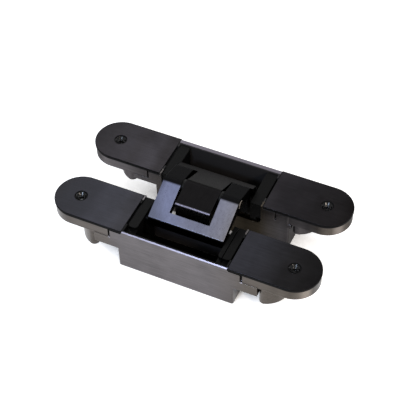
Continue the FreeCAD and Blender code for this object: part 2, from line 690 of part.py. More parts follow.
def make_block(name, side, end, inner_face, set_back=None, grooved=False):
    """One plastic guide block: a pivot bore, a blind curved slot and a nose on the sill.

    set_back is how far its top stands back from the pocket's outer wall."""
    body = new_body(name + "_blank")
    middle = side * half_pitch
    play = S["block_play"]
    back = S["pocket_half"] - play
    x0, x1 = end * inner_face, end * back
    outer = middle + side * (inner_wall - play)
    inner = middle - side * (inner_wall - 2 * play)
    nose = middle - side * S["block_nose"]
    top = face - S["block_top"]
    bottom = S["box_floor"] + play

    tall = new_sketch(body, "BlockOutline", "XY_Plane", bottom)
    add_box(tall, x0, x1, outer, inner)
    pad(body, "Block", tall, top - bottom)
    long_part = new_sketch(body, "NoseOutline", "XY_Plane", face - S["block_nose_depth"])
    add_box(long_part, x0, x1, outer, nose)
    pad(body, "Nose", long_part, S["block_nose_depth"] - S["block_top"])
    # Near the pocket's end wall the nose's foot clears the rounded corner of the sill.
    relief = new_sketch(body, "NoseRelief", "XY_Plane", face - S["block_nose_depth"])
    relief_start = S["pocket_half"] - S["sill_rounding"]
    add_box(relief, end * relief_start, x1, inner, nose - side * play)
    pocket(body, "Relief", relief, S["sill_rounding"], upward=True)

    pivot = new_sketch(body, "PivotOutline", "YZ_Plane", x0)
    add_circle(pivot, middle - side * pivot_set, pivot_height,
               S["pivot_pin"] / 2 + S["pin_fit"])
    pocket(body, "PivotBore", pivot, pivot_pin_half + play - inner_face,
           upward=end > 0)
    top_end = outer
    if set_back is not None:
        top_end = outer - side * set_back
        end_step = new_sketch(body, "EndStepOutline", "XY_Plane", top)
        add_box(end_step, x0, x1, outer, top_end)
        pocket(body, "EndStep", end_step, S["front_rim_depth"] - S["block_top"])
    dress(body, "Fillet", "CornerRounding",
          at_most(S["block_rounding"], (back - inner_face) / 2 - play),
          lambda point, edge: is_upright(edge) and near(point.y, top_end))
    if grooved:
        groove = new_sketch(body, "GrooveOutline", "XY_Plane", top)
        start = inner_face + S["groove_set"]
        add_box(groove, end * start, end * (start + S["groove_width"]), outer, nose)
        pocket(body, "Groove", groove, S["groove_depth"])
    slot_end = slide_pin_half + S["side_play"] * 4
    low, high = (x0, end * slot_end) if end > 0 else (end * slot_end, x0)
    block = doc.addObject("Part::Cut", name)
    block.Base = body
    block.Tool = make_slot(name + "_slot", side, low, high)
    block.Label = name
    return block


def arm_profile(side, slope, reach, leg_slope, leg_reach):
    """Side outline of an arm about the centre pin: broad plate, ridge, leg.

    side is -1 where the broad plate points to the front."""
    ridge_y, ridge_z = side * S["ridge_set"], pin_height + S["ridge_rise"]
    edge_z = ridge_z - (reach - S["ridge_set"]) * tangent(slope)
    short_rise = (leg_reach + S["ridge_set"]) * tangent(leg_slope)
    boss_y, boss_z = S["slide_reach"], pin_height - S["slide_drop"]
    under_z = ridge_z - S["ridge_rise"] - S["plate"]
    return [
        (ridge_y, ridge_z),
        (side * reach, edge_z),
        (side * reach, edge_z - S["lip"]),
        (side * (boss_y + S["slide_boss"]), boss_z),
        (side * (boss_y - S["slide_boss"]), boss_z),
        (side * (boss_y - S["slide_boss"]), boss_z + S["slide_boss"]),
        (side * S["hub_radius"], under_z),
        (-side * S["hub_radius"], under_z),
        (-side * S["leg_root"], under_z - S["ridge_set"]),
        (-side * (pivot_reach - S["eye_radius"]), pivot_height),
        (-side * leg_reach, pivot_height),
        (-side * leg_reach, ridge_z - short_rise),
    ]


def make_arm(name, side, half, slope, reach, leg_slope, leg_reach):
    """The forged blank of an arm, before its notch is cut."""
    body = new_body(name)
    web = new_sketch(body, "WebOutline", "YZ_Plane", 0)
    add_polygon(web, arm_profile(side, slope, reach, leg_slope, leg_reach))
    pad(body, "Web", web, 2 * half, symmetric=True)
    ridge = pin_height + S["ridge_rise"]
    dress(body, "Fillet", "RidgeRounding", S["ridge_rounding"],
          lambda point, line: near(point.y, side * S["ridge_set"]) and near(point.z, ridge))
    round_parts = [
        ("Hub", 0, pin_height, S["hub_radius"]),
        ("Boss", side * S["slide_reach"], pin_height - S["slide_drop"], S["slide_boss"]),
        ("Eye", -side * pivot_reach, pivot_height, S["eye_radius"]),
    ]
    for label, y, z, radius in round_parts:
        outline = new_sketch(body, label + "Outline", "YZ_Plane", 0)
        add_circle(outline, y, z, radius)
        pad(body, label, outline, 2 * half, symmetric=True)
    return body


def bore(body, name, y, z, radius, half):
    """Bore an arm from side to side."""
    outline = new_sketch(body, name + "Outline", "YZ_Plane", 0)
    add_circle(outline, y, z, radius)
    pocket(body, name, outline, 2 * half, symmetric=True)


def make_fork():
    """The forked arm: slides in the front housing, pivots in the rear one."""
    half = S["fork_half"]
    body = make_arm("fork_arm", -1, half, S["fork_slope"], S["fork_reach"],
                    S["prong_slope"], S["prong_reach"])
    notch = new_sketch(body, "NotchOutline", "XY_Plane", pin_height + 2 * S["ridge_rise"])
    add_box(notch, -S["fork_notch_half"], S["fork_notch_half"],
            -S["fork_notch_reach"], pivot_reach + 2 * S["eye_radius"])
    pocket(body, "Notch", notch, 2 * pin_height)
    bore(body, "CentreBore", 0, pin_height, S["centre_pin"] / 2 + S["pin_fit"], half)
    bore(body, "SlideBore", -S["slide_reach"], pin_height - S["slide_drop"],
         S["slide_pin"] / 2 + S["pin_fit"], half)
    bore(body, "EyeBore", pivot_reach, pivot_height,
         S["pivot_pin"] / 2 + S["bush_wall"] + S["running_fit"] + S["pin_fit"], half)
    ridge = pin_height + S["ridge_rise"]
    edge = ridge - (S["fork_reach"] - S["ridge_set"]) * tangent(S["fork_slope"])
    dress(body, "Chamfer", "EdgeBreak", S["edge_break"],
          lambda point, line: near(point.y, -S["fork_reach"]) and near(point.z, edge))
    return body


def make_tongue():
    """The tongued arm: pivots in the front housing, slides in the rear one."""
    half = S["tee_half"]
    body = make_arm("tongue_arm", 1, half, S["tee_slope"], S["tee_edge_reach"],
                    S["tongue_slope"], S["tongue_reach"])
    flanks = new_sketch(body, "FlankOutline", "XY_Plane", pin_height + 2 * S["ridge_rise"])
    for end in (-1, 1):
        add_box(flanks, end * S["tongue_half"], end * (half + S["eye_radius"]),
                -pivot_reach - 2 * S["eye_radius"], S["tee_reach"])
    pocket(body, "Flanks", flanks, 2 * pin_height)
    bore(body, "CentreBore", 0, pin_height, S["centre_pin"] / 2 + S["bush_wall"]
         + S["running_fit"] + S["pin_fit"], half)
    bore(body, "SlideBore", S["slide_reach"], pin_height - S["slide_drop"],
         S["slide_pin"] / 2 + S["pin_fit"], half)
    bore(body, "EyeBore", -pivot_reach, pivot_height,
         S["pivot_pin"] / 2 + S["bush_wall"] + S["running_fit"] + S["pin_fit"], half)
    ridge = pin_height + S["ridge_rise"]
    edge = ridge - (S["tongue_reach"] + S["ridge_set"]) * tangent(S["tongue_slope"])
    dress(body, "Fillet", "TongueRounding", S["tongue_rounding"],
          lambda point, line: near(point.y, -S["tongue_reach"]) and near(point.z, edge))
    return body


def make_bush(name, pin, x0, x1, y, z):
    """A plain bearing bush, pressed in an arm and turning on its pin."""
    inner = pin / 2 + S["running_fit"]
    return make_tube(name, inner, inner + S["bush_wall"], x0, x1, y, z)


def make_pair(name, maker):
    """Two like pieces, one each side of the middle, as one node."""
    return make_group(name, [maker(f"{name}_{label}", end)
                             for label, end in (("left", -1), ("right", 1))])


def make_washer(name, end, radius, gap_start, gap_end, y, z, ring):
    """A ring that fills the side gap between two pieces on one pin."""
    play = S["side_play"]
    low = end * (gap_start + play)
    high = end * (gap_end - play)
    x0, x1 = (low, high) if end > 0 else (high, low)
    inner = radius + S["running_fit"]
    return make_tube(name, inner, inner + ring, x0, x1, y, z)


front, rear = -1, 1
nodes = [
    make_housing("front_housing", front, S["front_step_depth"], S["front_boss_depth"],
                 box_half, rim=S["front_rim"]),
    make_housing("rear_housing", rear, S["rear_step_depth"], S["rear_boss_depth"],
                 box_half + S["rear_end_extra"]),
]
for place, side in (("front", front), ("rear", rear)):
    for hand, end in (("left", -1), ("right", 1)):
        nodes.append(make_cap(f"{place}_cap_{hand}", side, end))
        nodes.append(make_block(f"{place}_guide_block_{hand}", side, end,
                                block_faces[f"{place}_{hand}"],
                                set_back=S["front_block_set"] if side == front else None,
                                grooved=(side, end) == (front, 1)))
    nodes.append(make_cap_screws(f"{place}_cap_screws", side))

nodes.append(make_fork())
nodes.append(make_tongue())

# Pins: centre and front sliding pin are fast in the fork, the rear sliding pin is fast in
# the tongued arm, and the two pivot pins are fast in the guide blocks.
pivot_radius = S["pivot_pin"] / 2
centre_radius = S["centre_pin"] / 2
slide_radius = S["slide_pin"] / 2
pin_end = S["edge_break"]
slide_height = pin_height - S["slide_drop"]
nodes += [
    make_pin("centre_pin", centre_radius, S["centre_pin_half"], pin_end, 0, pin_height),
    make_pin("front_pivot_pin", pivot_radius, pivot_pin_half, pin_end,
             -pivot_reach, pivot_height),
    make_pin("rear_pivot_pin", pivot_radius, pivot_pin_half, pin_end,
             pivot_reach, pivot_height),
    make_pin("front_slide_pin", slide_radius, slide_pin_half, pin_end,
             -S["slide_reach"], slide_height),
    make_pin("rear_slide_pin", slide_radius, slide_pin_half, pin_end,
             S["slide_reach"], slide_height),
]

# Bushes in the arms
nodes += [
    make_bush("centre_bush", S["centre_pin"], -S["tongue_half"], S["tongue_half"],
              0, pin_height),
    make_bush("front_pivot_bush", S["pivot_pin"], -S["tongue_half"], S["tongue_half"],
              -pivot_reach, pivot_height),
    make_group("rear_pivot_bushes", [
        make_bush("rear_pivot_bush_left", S["pivot_pin"], -S["fork_half"],
                  -S["fork_notch_half"], pivot_reach, pivot_height),
        make_bush("rear_pivot_bush_right", S["pivot_pin"], S["fork_notch_half"],
                  S["fork_half"], pivot_reach, pivot_height),
    ]),
]

# Washers and spacer sleeves beside the arms
nodes += [
    make_pair("centre_washers", lambda name, end: make_washer(
        name, end, centre_radius, S["tongue_half"], S["fork_notch_half"], 0, pin_height,
        S["hub_radius"] - centre_radius - 2 * S["running_fit"])),
    make_pair("rear_pivot_washers", lambda name, end: make_washer(
        name, end, pivot_radius, S["fork_half"],
        block_faces["rear_left" if end < 0 else "rear_right"],
        pivot_reach, pivot_height, S["washer_wall"])),
    make_pair("front_spacer_sleeves", lambda name, end: make_washer(
        name, end, pivot_radius, S["tongue_half"],
        block_faces["front_left" if end < 0 else "front_right"],
        -pivot_reach, pivot_height, S["sleeve_wall"])),
    make_tube("rear_spacer_sleeve", pivot_radius + S["running_fit"],
              pivot_radius + S["running_fit"] + S["sleeve_wall"],
              -S["fork_notch_half"] + S["side_play"],
              S["fork_notch_half"] - S["side_play"], pivot_reach, pivot_height),
]

doc.recompute()
for item in doc.Objects:
    if "Invalid" in item.State or "Error" in item.State:
        raise RuntimeError(f"{item.Label} did not recompute: {item.State}")
for node in nodes:
    if node.Shape.isNull() or not node.Shape.isValid():
        raise RuntimeError(f"{node.Label} has no valid shape")

os.makedirs("parts", exist_ok=True)
for node in nodes:
    node.Shape.exportStep(f"parts/{node.Label}.step")
    print(f"{node.Label}: {len(node.Shape.Solids)} solid(s), {node.Shape.Volume:.1f} mm3")
print(f"pieces {len(nodes)}, pivot set {pivot_set.number:.4f} mm, "
      f"arm turn {math.degrees(ARM_TURN):.4f} degrees")
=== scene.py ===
# %% [markdown]
# # A concealed door hinge, open on the bench
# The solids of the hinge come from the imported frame. They already have the real shape, so this
# lesson is about their finish: brushed zinc, dark cover plates, a blue-grey steel face, black
# guide blocks. Only the small screws are rebuilt, with a repeated mesh from Geometry Nodes.

# %% Load the frame
import json
import math

import bmesh
import bpy
from mathutils import Matrix, Vector


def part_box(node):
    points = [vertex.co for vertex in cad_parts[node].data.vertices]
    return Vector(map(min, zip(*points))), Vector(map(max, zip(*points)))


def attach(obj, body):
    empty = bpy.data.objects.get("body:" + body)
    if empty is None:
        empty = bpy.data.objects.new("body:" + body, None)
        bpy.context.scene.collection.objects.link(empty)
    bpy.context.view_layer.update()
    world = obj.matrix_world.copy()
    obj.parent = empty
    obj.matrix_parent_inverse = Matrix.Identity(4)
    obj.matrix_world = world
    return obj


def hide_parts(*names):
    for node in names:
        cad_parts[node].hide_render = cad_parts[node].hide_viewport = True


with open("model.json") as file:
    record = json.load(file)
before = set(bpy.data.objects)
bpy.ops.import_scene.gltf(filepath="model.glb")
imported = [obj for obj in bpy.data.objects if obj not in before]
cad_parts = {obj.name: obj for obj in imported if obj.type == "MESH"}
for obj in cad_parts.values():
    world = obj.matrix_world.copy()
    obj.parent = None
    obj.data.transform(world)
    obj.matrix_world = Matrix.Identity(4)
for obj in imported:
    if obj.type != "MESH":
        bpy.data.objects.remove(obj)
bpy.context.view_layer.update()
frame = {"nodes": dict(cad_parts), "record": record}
nodes = frame["nodes"]
scene = bpy.context.scene
MM = 0.001

# %% [markdown]
# ## Places that the finishes need
# The frame's boxes give every place, so nothing here has to be fitted by eye. The visible faces
# lie on one plane, and the centre pin lies in the middle of the gap. The arms' ridge is a little
# above that pin.

# %% Places on the hinge
FACE_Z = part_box("front_cap_left")[1].z
PIN_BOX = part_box("centre_pin")
PIN_Z = (PIN_BOX[0].z + PIN_BOX[1].z) / 2
RIDGE_RISE = 4.5
RIDGE_Z = PIN_Z + RIDGE_RISE * MM
print("face", round(FACE_Z, 5), "pin", round(PIN_Z, 5), "ridge", round(RIDGE_Z, 5))

# %% [markdown]
# ## Camera
# The photograph's view was worked out once from the outlines of both housings. The lens and the
# small shift come from the same fit, for a square picture of 416 pixels. Three directions, to
# the right, up and back, then make the camera's matrix, which is plainer than stacked turns.

# %% Camera: where it stands
PICTURE = 416
SENSOR = 36.0
FOCAL_PIXELS = 1205.047
CENTRE_X, CENTRE_Y = 203.452, 200.675
VIEW_AZIMUTH = math.radians(26.039)
VIEW_ELEVATION = math.radians(48.139)
VIEW_ROLL = math.radians(-1.692)
VIEW_DISTANCE = 676.118 * MM

back = Vector((math.sin(VIEW_AZIMUTH) * math.cos(VIEW_ELEVATION),
               -math.cos(VIEW_AZIMUTH) * math.cos(VIEW_ELEVATION),
               math.sin(VIEW_ELEVATION)))
right = Vector((math.cos(VIEW_AZIMUTH), math.sin(VIEW_AZIMUTH), 0))
up = back.cross(right)
rolled_right = right * math.cos(VIEW_ROLL) + up * math.sin(VIEW_ROLL)
rolled_up = up * math.cos(VIEW_ROLL) - right * math.sin(VIEW_ROLL)
eye = Vector((0, 0, FACE_Z)) + back * VIEW_DISTANCE
print("eye", [round(value, 3) for value in eye])

# %% Camera: its lens
NEAREST = 10 * MM

camera_data = bpy.data.cameras.new("camera")
camera_data.sensor_width = SENSOR
camera_data.lens = FOCAL_PIXELS / PICTURE * SENSOR
camera_data.shift_x = (PICTURE / 2 - CENTRE_X) / PICTURE
camera_data.shift_y = (CENTRE_Y - PICTURE / 2) / PICTURE
camera_data.clip_start = NEAREST
camera = bpy.data.objects.new("camera", camera_data)
scene.collection.objects.link(camera)
turn = Matrix((rolled_right, rolled_up, back)).transposed()
camera.matrix_world = Matrix.Translation(eye) @ turn.to_4x4()
scene.camera = camera
scene.view_settings.view_transform = "Standard"
print("lens", round(camera_data.lens, 2), "mm")

# %% [markdown]
# ## Small helpers for node trees
# A node tree reads best when each node is one line. `add_node` makes a node and fills its plain
# sockets, `link` joins two sockets, and `feed` takes a plain value or a socket. The helpers
# after them each stand for one kind of node, for shader and geometry trees alike.

# %% Add and join nodes
def add_node(tree, kind, **values):
    """Add a node; values are its own properties, or its sockets by name."""
    node = tree.nodes.new(kind)
    for name, value in values.items():
        if hasattr(node, name):
            setattr(node, name, value)
        else:
            node.inputs[name.replace("_", " ")].default_value = value
    return node


def link(tree, source, target):
    """Join an output socket to an input socket."""
    tree.links.new(source, target)


def feed(tree, value, target):
    """Give an input socket a plain value, or join another node's output to it."""
    if isinstance(value, bpy.types.NodeSocket):
        link(tree, value, target)
    else:
        target.default_value = value


print("made: add_node, link, feed")

# %% Numbers, vectors and places
def calculate(tree, operation, first, second, clamp=False):
    """A Math node; each input is a number or a socket."""
    node = add_node(tree, "ShaderNodeMath", operation=operation, use_clamp=clamp)
    feed(tree, first, node.inputs[0])
    feed(tree, second, node.inputs[1])
    return node.outputs[0]


def vector_math(tree, operation, first, second=(0, 0, 0)):
    """A Vector Math node; a distance and a dot product come out as a number."""
    node = add_node(tree, "ShaderNodeVectorMath", operation=operation)
    feed(tree, first, node.inputs[0])
    feed(tree, second, node.inputs[1])
    return node.outputs["Value" if operation in ("DISTANCE", "DOT_PRODUCT") else "Vector"]


def object_place(tree):
    """Where a point lies on its piece, as a socket."""
    return add_node(tree, "ShaderNodeTexCoord").outputs["Object"]


def noise(tree, place, scale, detail, roughness=0.5):
    """Noise from 0 to 1; the scale is a number or a socket."""
    node = add_node(tree, "ShaderNodeTexNoise", Detail=detail, Roughness=roughness)
    link(tree, place, node.inputs["Vector"])
    feed(tree, scale, node.inputs["Scale"])
    return node.outputs["Fac"]


print("made: calculate, vector_math, object_place, noise")

# %% Ranges and mixtures
MIX_SOCKETS = {"FLOAT": (0, 2, 3, 0), "RGBA": (0, 6, 7, 2)}


def map_range(tree, value, low, high, to_low=0.0, to_high=1.0, smooth=False):
    """A Map Range node; the limits low and high are numbers or sockets."""
    node = add_node(tree, "ShaderNodeMapRange", To_Min=to_low, To_Max=to_high)
    if smooth:
        node.interpolation_type = "SMOOTHSTEP"
    link(tree, value, node.inputs["Value"])
    feed(tree, low, node.inputs["From Min"])
    feed(tree, high, node.inputs["From Max"])
    return node.outputs["Result"]


def blend(tree, share, first, second, kind="RGBA"):
    """A Mix node for two colours, or for two numbers when the kind is FLOAT."""
    node = add_node(tree, "ShaderNodeMix", data_type=kind)
    share_index, first_index, second_index, result_index = MIX_SOCKETS[kind]
    feed(tree, share, node.inputs[share_index])
    feed(tree, first, node.inputs[first_index])
    feed(tree, second, node.inputs[second_index])
    return node.outputs[result_index]


print("made: map_range, blend")

# %% Start a group
FLOAT = "NodeSocketFloat"
VECTOR = "NodeSocketVector"


def new_group(name, inputs, outputs, kind="ShaderNodeTree"):
    """Start a node group with named sockets; inputs are (name, kind, value)."""
    group = bpy.data.node_groups.new(name, kind)
    for label, socket_kind, value in inputs:
        socket = group.interface.new_socket(name=label, in_out="INPUT", socket_type=socket_kind)
        if value is not None:
            socket.default_value = value
    for label, socket_kind in outputs:
        group.interface.new_socket(name=label, in_out="OUTPUT", socket_type=socket_kind)
    start = group.nodes.new("NodeGroupInput")
    end = group.nodes.new("NodeGroupOutput")
    return group, start, end


print("made: new_group")

# %% [markdown]
# ## Brushed grain
# Brushing leaves long fine scratches along one direction. Noise that is stretched along that
# direction gives them: a fine set for the scratches and a coarse set for broad streaks. A third,
# unstretched noise gives the soft blotches of a plated surface. The group is shared by every
# brushed metal, each with its own direction and strength.

# %% Group: brushed grain
STREAK_SCALE = 0.22
BLOTCH_SCALE = 55.0

grain_group, grain_in, grain_out = new_group(
    "brushed_grain",
    [("Stretch", VECTOR, (1.0, 30.0, 30.0)), ("Fineness", FLOAT, 120.0),
     ("Streaks", FLOAT, 0.4)],
    [("Grain", FLOAT), ("Height", FLOAT), ("Cloud", FLOAT)])
on_metal = object_place(grain_group)
stretched = vector_math(grain_group, "MULTIPLY", on_metal, grain_in.outputs["Stretch"])
scratches = noise(grain_group, stretched, grain_in.outputs["Fineness"],
                  detail=4.0, roughness=0.65)
streak_fineness = calculate(grain_group, "MULTIPLY", grain_in.outputs["Fineness"], STREAK_SCALE)
streaks = noise(grain_group, stretched, streak_fineness, detail=3.0)
blotches = noise(grain_group, on_metal, BLOTCH_SCALE, detail=3.0, roughness=0.55)
grain = blend(grain_group, grain_in.outputs["Streaks"], scratches, streaks, kind="FLOAT")
link(grain_group, grain, grain_out.inputs["Grain"])
link(grain_group, scratches, grain_out.inputs["Height"])
link(grain_group, blotches, grain_out.inputs["Cloud"])
print("group", grain_group.name, "has", len(grain_group.nodes), "nodes")

# %% [markdown]
# ## Worn edges and painted edge highlights
# Handled metal is brighter along its edges. This brighter edge colour is partly wear and partly
# a painted highlight, such as rounded edges catch. The Bevel node rounds the normal near an
# edge, so the angle between the rounded and the true normal marks the edges. The same rounded
# normal also softens every sharp edge of the solids.

# %% Group: edge wear and painted edge highlight
EDGE_SAMPLES = 6

edge_group, edge_in, edge_out = new_group(
    "edge_wear_and_highlight", [("Radius", FLOAT, 0.4 * MM), ("Contrast", FLOAT, 6.0)],
    [("Mask", FLOAT), ("Normal", VECTOR)])
rounded = add_node(edge_group, "ShaderNodeBevel", samples=EDGE_SAMPLES)
link(edge_group, edge_in.outputs["Radius"], rounded.inputs["Radius"])
true_normal = add_node(edge_group, "ShaderNodeNewGeometry").outputs["True Normal"]
facing = vector_math(edge_group, "DOT_PRODUCT", rounded.outputs["Normal"], true_normal)
turned = calculate(edge_group, "SUBTRACT", 1.0, facing)
mask = calculate(edge_group, "MULTIPLY", turned, edge_in.outputs["Contrast"], clamp=True)
link(edge_group, mask, edge_out.inputs["Mask"])
link(edge_group, rounded.outputs["Normal"], edge_out.inputs["Normal"])
print("group", edge_group.name, "has", len(edge_group.nodes), "nodes")

# %% [markdown]
# ## A surface along a plane
# Painted light and painted shade meet at a plane on this hinge: the fork's broad face is painted
# bright while the rest of the arm is painted dark, and the pockets are painted dark as shade.
# The group measures how far a point lies
# in front of a plane, in the piece's own coordinates, so it also holds when the arms turn.

# %% Group: distance from a plane
plane_group, plane_in, plane_out = new_group(
    "plane_distance", [("Point", VECTOR, (0, 0, 0)), ("Direction", VECTOR, (0, 0, 1.0))],
    [("Distance", FLOAT)])
offset = vector_math(plane_group, "SUBTRACT", object_place(plane_group),
                     plane_in.outputs["Point"])
along = vector_math(plane_group, "DOT_PRODUCT", offset, plane_in.outputs["Direction"])
link(plane_group, along, plane_out.inputs["Distance"])
print("group", plane_group.name, "has", len(plane_group.nodes), "nodes")

# %% Masks from planes
def plane_distance(tree, point, direction):
    """Distance in metres in front of a plane through a point in mm, as a socket."""
    point = [value * MM for value in point]
    node = add_node(tree, "ShaderNodeGroup", node_tree=plane_group,
                    Point=point, Direction=direction)
    return node.outputs["Distance"]


def beyond(axis, place, sign=1):
    """The plane across an axis at a place in mm; its front looks along the sign."""
    point = [0, 0, 0]
    direction = [0, 0, 0]
    point["XYZ".index(axis)] = place
    direction["XYZ".index(axis)] = sign
    return point, direction


def between(axis, low, high):
    """The two planes that bound a stretch of an axis."""
    return [beyond(axis, low), beyond(axis, high, -1)]


def inside(tree, planes, softness=0.03):
    """1 where a point lies in front of every plane; the softness is in mm."""
    result = None
    for point, direction in planes:
        distance = plane_distance(tree, point, direction)
        step = map_range(tree, distance, -softness * MM, softness * MM)
        result = step if result is None else calculate(tree, "MULTIPLY", result, step)
    return result


print("made: plane_distance, beyond, between, inside")

# %% [markdown]
# ## Painted light along the hinge
# Light falls off towards the ends of a long part, and its round ends catch bright bands. A
# colour ramp over the X coordinate paints this light and shade into the colour: its stops are
# places in millimetres, each with a brightness and a warmth that turns the colour yellower.

# %% Group: painted light along the length
tone_group, tone_in, tone_out = new_group(
    "place_along_length", [("Start", FLOAT, -0.08), ("End", FLOAT, 0.08)], [("Share", FLOAT)])
split = add_node(tone_group, "ShaderNodeSeparateXYZ")
link(tone_group, object_place(tone_group), split.inputs[0])
length_share = map_range(tone_group, split.outputs["X"], tone_in.outputs["Start"],
                         tone_in.outputs["End"])
link(tone_group, length_share, tone_out.inputs["Share"])
print("group", tone_group.name, "has", len(tone_group.nodes), "nodes")

# %% Lay painted light over a colour
TONE_LIMIT = 2.0
WARM_TINT = (0.04, -0.02, -0.165)


def painted_light_along_x(tree, colour, stops):
    """A colour times painted light and shade along X; stops are (mm, brightness up to 2,
    warmth).
    """
    low, high = stops[0][0], stops[-1][0]
    node = add_node(tree, "ShaderNodeGroup", node_tree=tone_group, Start=low * MM, End=high * MM)
    ramp = add_node(tree, "ShaderNodeValToRGB")
    marks = ramp.color_ramp.elements
    for stop in stops[1:-1]:
        marks.new((stop[0] - low) / (high - low))
    for mark, (_, brightness, warmth) in zip(marks, stops):
        level = brightness / TONE_LIMIT
        mark.color = [level * (1 + warmth * share) for share in WARM_TINT] + [1.0]
    link(tree, node.outputs["Share"], ramp.inputs["Fac"])
    tint = vector_math(tree, "MULTIPLY", colour, ramp.outputs["Color"])
    return vector_math(tree, "MULTIPLY", tint, [TONE_LIMIT] * 3)


print("tones reach up to", TONE_LIMIT, "times a colour")

# %% [markdown]
# ## Brushed metal materials
# Every metal here is one recipe: a base colour that the grain lightens and darkens, a roughness
# that follows the grain, a slight bump, and edges that are partly worn and partly a painted
# highlight. A function makes it, because the metals differ only in their values. Colours are
# written as they look on screen.

# %% Colours and empty materials
def srgb(red, green, blue):
    """A colour given as it looks on screen, from 0 to 255, by the sRGB formula."""
    def linear(value):
        value = value / 255
        return value / 12.92 if value <= 0.04045 else ((value + 0.055) / 1.055) ** 2.4
    return (linear(red), linear(green), linear(blue), 1.0)


def new_material(name):
    """A material with an empty tree, a Principled shader and an output."""
    material = bpy.data.materials.new(name)
    material.use_nodes = True
    tree = material.node_tree
    tree.nodes.clear()
    shader = tree.nodes.new("ShaderNodeBsdfPrincipled")
    output = tree.nodes.new("ShaderNodeOutputMaterial")
    link(tree, shader.outputs[0], output.inputs[0])
    return material, tree, shader


print("middle grey is", round(srgb(128, 128, 128)[0], 3))

# %% Brushed metal recipe
ALONG_X = (1.0, 30.0, 30.0)
ALONG_Y = (30.0, 1.0, 30.0)
NOISE_LOW, NOISE_HIGH = 0.3, 0.7
ROUGH_SPREAD = 0.15
SCRATCH_DEPTH = 0.4 * MM
EDGE_CONTRAST = 2.5


def brushed_metal(name, dark, light, edge, roughness, stretch, fineness=120.0, bump=0.03,
                  streaks=0.4, edge_radius=0.4, cloudiness=0.5):
    """Brushed metal between two colours, with edges in a third; the radius is in mm."""
    material, tree, shader = new_material(name)
    shader.inputs["Metallic"].default_value = 1.0
    grain = add_node(tree, "ShaderNodeGroup", node_tree=grain_group,
                     Stretch=stretch, Fineness=fineness, Streaks=streaks).outputs
    worn_and_lit_edges = add_node(tree, "ShaderNodeGroup", node_tree=edge_group,
                    Radius=edge_radius * MM, Contrast=EDGE_CONTRAST).outputs
    level = map_range(tree, grain["Grain"], NOISE_LOW, NOISE_HIGH)
    clouds = map_range(tree, grain["Cloud"], NOISE_LOW, NOISE_HIGH,
                       -cloudiness / 2, cloudiness / 2)
    share = calculate(tree, "ADD", level, clouds, clamp=True)
    # The edge colour is partly worn metal and partly a painted highlight along the edges.
    colour = blend(tree, worn_and_lit_edges["Mask"], blend(tree, share, dark, light), edge)
    link(tree, colour, shader.inputs["Base Color"])
    rough = map_range(tree, share, 0.0, 1.0,
                      roughness * (1 - ROUGH_SPREAD), roughness * (1 + ROUGH_SPREAD))
    link(tree, rough, shader.inputs["Roughness"])
    relief = add_node(tree, "ShaderNodeBump", Strength=bump, Distance=SCRATCH_DEPTH)
    link(tree, grain["Height"], relief.inputs["Height"])
    link(tree, worn_and_lit_edges["Normal"], relief.inputs["Normal"])
    link(tree, relief.outputs[0], shader.inputs["Normal"])
    print("metal", name)
    return material, tree, shader, colour


# %% Glancing light and dark paint
def keep_glancing(shader, level):
    """Set how bright metal stays, from 0 to 1, where it is seen at a glancing angle."""
    shader.inputs["Specular Tint"].default_value = (level, level, level, 1.0)


def paint_over(tree, shader, colour, mask, paint, roughness):
    """Lay a dark colour over the metal where the mask is 1: painted shade on a housing, black on
    a cap.
    """
    link(tree, blend(tree, mask, colour, paint), shader.inputs["Base Color"])
    link(tree, calculate(tree, "SUBTRACT", 1.0, mask, clamp=True), shader.inputs["Metallic"])
    bare = shader.inputs["Roughness"].links[0].from_socket
    link(tree, blend(tree, mask, bare, roughness, kind="FLOAT"), shader.inputs["Roughness"])


print("made: keep_glancing, paint_over")

# %% [markdown]
# ## The housings
# Each housing is one zinc casting with a brushed nickel finish, and shade is painted dark into
# the pocket where the arms work. Masks could be painted on a UV map by hand. Here every border
# of a finish
# is straight, so a few planes mark it. Their places come from the caps' box, and from widths
# that were measured in the photograph.

# %% Places on the housings, in mm
FACE = FACE_Z / MM
CAP_LOW, CAP_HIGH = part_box("front_cap_left")
WALL_OUTER = abs(CAP_LOW.y) / MM
WALL_INNER = abs(CAP_HIGH.y) / MM
MIDDLE = (WALL_OUTER + WALL_INNER) / 2
CAP_INNER = abs(CAP_HIGH.x) / MM
CAP_THICKNESS = FACE - CAP_LOW.z / MM
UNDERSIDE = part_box("rear_housing")[0].z / MM
print("walls from", round(WALL_INNER, 2), "to", round(WALL_OUTER, 2))
print("caps from", round(CAP_INNER, 2), "thick", round(CAP_THICKNESS, 2))

# %% [markdown]
# The rim of the outer wall is polished, and a highlight is painted on it. A shadow is painted
# under each cap, and two grooves across the front casting's outer wall are painted black as
# shade, each with a painted highlight on its foot. Shade is painted on the half of the rear
# casting that faces the gap. Each of these is one mask, made by one function.

# %% Masks of the pocket, its rim and the seams
WALL_THICKNESS = 3.8
RIM_CHAMFER = 0.8
FLOOR_EDGE = 0.6
END_PLAY = 0.3
SEAM_PLAY = 0.5
SEAM_DROP = 0.3
BETWEEN_CAPS = between("X", -CAP_INNER - END_PLAY, CAP_INNER + END_PLAY)


def rim_highlight_mask(tree, side, width):
    """1 on the polished top of the outer wall, over a width from its outside, where a highlight
    is painted.
    """
    return inside(tree, BETWEEN_CAPS + [beyond("Y", side * (WALL_OUTER - width), side),
                                        beyond("Z", FACE - RIM_CHAMFER)])


def pocket_shade_mask(tree, side, rim_width):
    """1 inside the pocket, from the rim to the inner wall, where shade is painted."""
    return inside(tree, BETWEEN_CAPS + [beyond("Y", side * (WALL_OUTER - rim_width), -side),
                                        beyond("Y", side * (WALL_INNER + WALL_THICKNESS), side),
                                        beyond("Z", UNDERSIDE + FLOOR_EDGE)])


